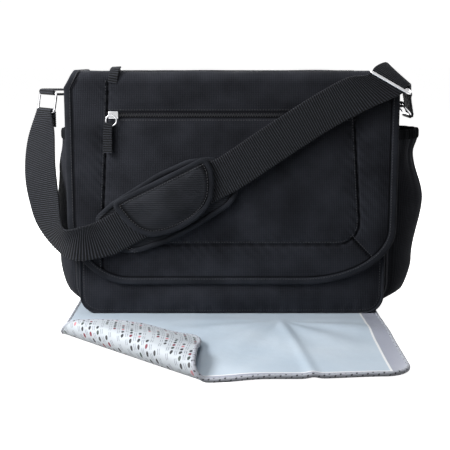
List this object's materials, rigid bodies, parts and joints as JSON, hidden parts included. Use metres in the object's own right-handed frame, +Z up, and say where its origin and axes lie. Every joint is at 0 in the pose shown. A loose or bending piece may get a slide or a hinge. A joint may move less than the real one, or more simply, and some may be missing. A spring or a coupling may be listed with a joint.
{
  "type": "diaper bag",
  "caption": "Messenger-style diaper bag: open-topped body with side pockets, full front flap with zip pockets, padded shoulder strap on rings, and a changing pad beneath.",
  "frame": {"origin": "on the surface that the set stands on, under the middle of the bag's body", "axes": "+X to the right seen from the front, -Y the front where the flap hangs, +Z up"},
  "size_m": [0.5245, 0.4187, 0.3179],
  "materials": {
    "shell_fabric": "woven polyester, near-black",
    "lining_fabric": "plain woven lining, grey",
    "webbing": "ribbed webbing, black",
    "binding_tape": "grosgrain tape, black",
    "pad_fabric": "padded woven polyester, near-black",
    "elastic": "gathered elastic edge, black",
    "metal": "polished",
    "zip_tape": "coil zip and tape, black",
    "hook_loop": "hook-and-loop tape, black",
    "board": "matt",
    "mat_vinyl": "coated fabric, pale blue, patterned on the back"
  },
  "bodies": {
    "bag": {"front_panel": "shell_fabric", "back_panel": "shell_fabric", "left_gusset": "shell_fabric", "right_gusset": "shell_fabric", "base_panel": "shell_fabric", "front_body_piping": "binding_tape", "back_body_piping": "binding_tape", "mouth_binding": "binding_tape", "lining": "lining_fabric", "base_board": "board", "inner_divider": "lining_fabric", "inner_slip_pocket": "lining_fabric", "front_pocket_panel": "shell_fabric", "front_pocket_gusset": "shell_fabric", "front_pocket_piping": "binding_tape", "left_loop_strip": "hook_loop", "right_loop_strip": "hook_loop", "left_side_pocket": "shell_fabric", "right_side_pocket": "shell_fabric", "left_pocket_elastic": "elastic", "right_pocket_elastic": "elastic", "flap_root": "shell_fabric", "left_anchor_patch": "webbing", "right_anchor_patch": "webbing"},
    "flap": {"flap_lining": "lining_fabric", "flap_left_band": "shell_fabric", "flap_right_band": "shell_fabric", "flap_bottom_band": "shell_fabric", "zip_pocket_panel": "shell_fabric", "flap_upper_band": "shell_fabric", "flap_top_panel": "shell_fabric", "flap_binding": "binding_tape", "left_hook_strip": "hook_loop", "right_hook_strip": "hook_loop", "front_zip_tape": "zip_tape", "top_zip_tape": "zip_tape"},
    "front_slider": {"front_zip_slider": "metal"},
    "front_pull": {"front_pull_ring": "metal", "front_zip_pull": "webbing"},
    "top_slider": {"top_zip_slider": "metal"},
    "top_pull": {"top_zip_pull": "webbing"},
    "strap": {"left_ring_tab": "webbing", "right_ring_tab": "webbing", "left_ring": "metal", "right_ring": "metal", "left_webbing": "webbing", "right_webbing": "webbing", "adjuster_frame": "metal", "adjuster_bar": "metal"},
    "shoulder_pad": {"shoulder_pad": "pad_fabric", "pad_face_panel": "pad_fabric", "pad_piping": "binding_tape", "pad_edge_tape": "binding_tape"},
    "changing_pad": {"changing_pad": "mat_vinyl"}
  },
  "joints": [
    {"name": "flap_hinge", "type": "hinge", "parent": "bag", "child": "flap", "pos_m": [0, 0.035, 0.3005], "axis": [-1, 0, 0], "range_deg": [0, 95]},
    {"name": "strap_swing", "type": "hinge", "parent": "flap", "child": "strap", "pos_m": [0, 0.035, 0.3005], "axis": [-1, 0, 0], "range_deg": [0, 100]},
    {"name": "shoulder_pad_slide", "type": "slide", "parent": "strap", "child": "shoulder_pad", "axis": [0.8848, 0, 0.4659], "range_m": [0, 0.03]},
    {"name": "front_zip_slide", "type": "slide", "parent": "flap", "child": "front_slider", "axis": [1, 0, 0], "range_m": [0, 0.278]},
    {"name": "front_pull_swing", "type": "hinge", "parent": "front_slider", "child": "front_pull", "pos_m": [-0.1465, -0.0848, 0.2535], "axis": [-1, 0, 0], "range_deg": [0, 150]},
    {"name": "top_zip_slide", "type": "slide", "parent": "flap", "child": "top_slider", "axis": [1, 0, 0], "range_m": [0, 0.27]},
    {"name": "top_pull_swing", "type": "hinge", "parent": "top_slider", "child": "top_pull", "pos_m": [-0.141, -0.059, 0.3106], "axis": [-1, 0, 0], "range_deg": [0, 160]},
    {"name": "changing_pad_slide", "type": "slide", "parent": "bag", "child": "changing_pad", "axis": [0, -1, 0], "range_m": [0, 0.25]}
  ]
}
